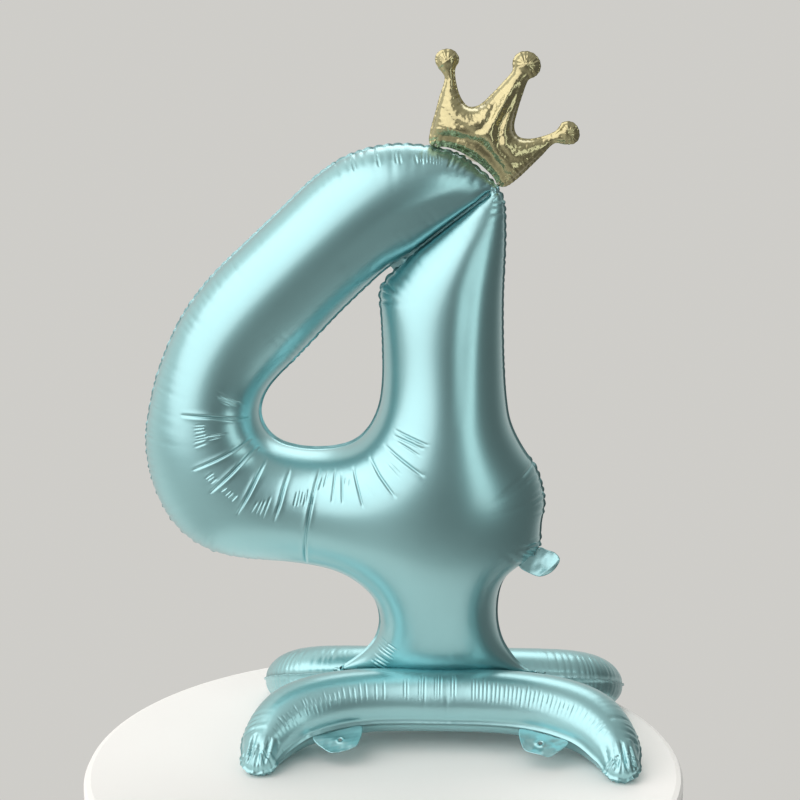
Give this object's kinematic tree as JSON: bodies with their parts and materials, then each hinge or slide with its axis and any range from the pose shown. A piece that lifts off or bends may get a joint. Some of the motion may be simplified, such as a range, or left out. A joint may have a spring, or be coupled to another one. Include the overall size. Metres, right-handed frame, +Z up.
{
  "type": "foil number balloon",
  "caption": "Free-standing foil balloon shaped as a digit, with a tilted foil crown on its apex and an inflated base of two arched foot tubes.",
  "frame": {"origin": "centre of the bounding box's base, on the surface that the balloon stands on", "axes": "+Z up, -Y towards the front face of the digit, +X to the right as the digit is read"},
  "size_m": [0.6564, 0.329, 0.9153],
  "materials": {
    "teal_foil": "satin metallised teal film",
    "gold_foil": "mirror-bright metallised champagne gold film",
    "valve_film": "clear polyethylene film",
    "glue": "translucent adhesive"
  },
  "bodies": {
    "digit": {"digit_front_film": "teal_foil", "digit_rear_film": "teal_foil", "digit_valve_front_ply": "valve_film", "digit_valve_rear_ply": "valve_film", "crown_glue_dot_left": "glue", "crown_glue_dot_right": "glue"},
    "digit_tail": {"digit_tail_front_ply": "teal_foil", "digit_tail_rear_ply": "teal_foil"},
    "crown": {"crown_front_film": "gold_foil", "crown_rear_film": "gold_foil", "crown_valve_front_ply": "valve_film", "crown_valve_rear_ply": "valve_film", "crown_tail_upper_ply": "gold_foil", "crown_tail_lower_ply": "gold_foil"},
    "front_foot": {"front_foot_outer_film": "teal_foil", "front_foot_inner_film": "teal_foil"},
    "rear_foot": {"rear_foot_outer_film": "teal_foil", "rear_foot_inner_film": "teal_foil", "base_valve_outer_ply": "valve_film", "base_valve_inner_ply": "valve_film"},
    "front_left_tab": {"front_left_eyelet_tab": "teal_foil"},
    "front_right_tab": {"front_right_eyelet_tab": "teal_foil"},
    "rear_left_tab": {"rear_left_eyelet_tab": "teal_foil"},
    "rear_right_tab": {"rear_right_eyelet_tab": "teal_foil"},
    "base_tail": {"base_tail_outer_ply": "teal_foil", "base_tail_inner_ply": "teal_foil"}
  },
  "joints": [
    {"name": "crown_rock", "type": "hinge", "parent": "digit", "child": "crown", "pos_m": [0.09849, 0, 0.77066], "axis": [0.8616, 0, -0.5075], "range_deg": [-6, 6], "stiffness_Nm_per_rad": 0.08},
    {"name": "digit_tail_flap", "type": "hinge", "parent": "digit", "child": "digit_tail", "pos_m": [0.18591, 0, 0.2508], "axis": [-0.7431, 0, -0.6691], "range_deg": [-45, 45], "stiffness_Nm_per_rad": 0.0004},
    {"name": "front_foot_splay", "type": "hinge", "parent": "digit", "child": "front_foot", "pos_m": [0.06941, 0, 0.0828], "axis": [1, 0, 0], "range_deg": [-1, 3], "stiffness_Nm_per_rad": 3},
    {"name": "rear_foot_splay", "type": "hinge", "parent": "digit", "child": "rear_foot", "pos_m": [0.06941, 0, 0.0828], "axis": [1, 0, 0], "range_deg": [-3, 1], "stiffness_Nm_per_rad": 3},
    {"name": "front_left_tab_flap", "type": "hinge", "parent": "front_foot", "child": "front_left_tab", "pos_m": [-0.06559, -0.09607, 0.038], "axis": [0.9426, 0.3025, 0.1411], "range_deg": [-35, 35], "stiffness_Nm_per_rad": 0.0008},
    {"name": "front_right_tab_flap", "type": "hinge", "parent": "front_foot", "child": "front_right_tab", "pos_m": [0.20441, -0.09607, 0.038], "axis": [0.9426, -0.3025, -0.1411], "range_deg": [-35, 35], "stiffness_Nm_per_rad": 0.0008},
    {"name": "rear_left_tab_flap", "type": "hinge", "parent": "rear_foot", "child": "rear_left_tab", "pos_m": [-0.06559, 0.09607, 0.038], "axis": [-0.9426, 0.3025, -0.1411], "range_deg": [-35, 35], "stiffness_Nm_per_rad": 0.0008},
    {"name": "rear_right_tab_flap", "type": "hinge", "parent": "rear_foot", "child": "rear_right_tab", "pos_m": [0.20441, 0.09607, 0.038], "axis": [-0.9426, -0.3025, 0.1411], "range_deg": [-35, 35], "stiffness_Nm_per_rad": 0.0008},
    {"name": "base_tail_flap", "type": "hinge", "parent": "rear_foot", "child": "base_tail", "pos_m": [0.06941, 0.08247, 0.04434], "axis": [-1, 0, 0], "range_deg": [-35, 35], "stiffness_Nm_per_rad": 0.0004}
  ]
}
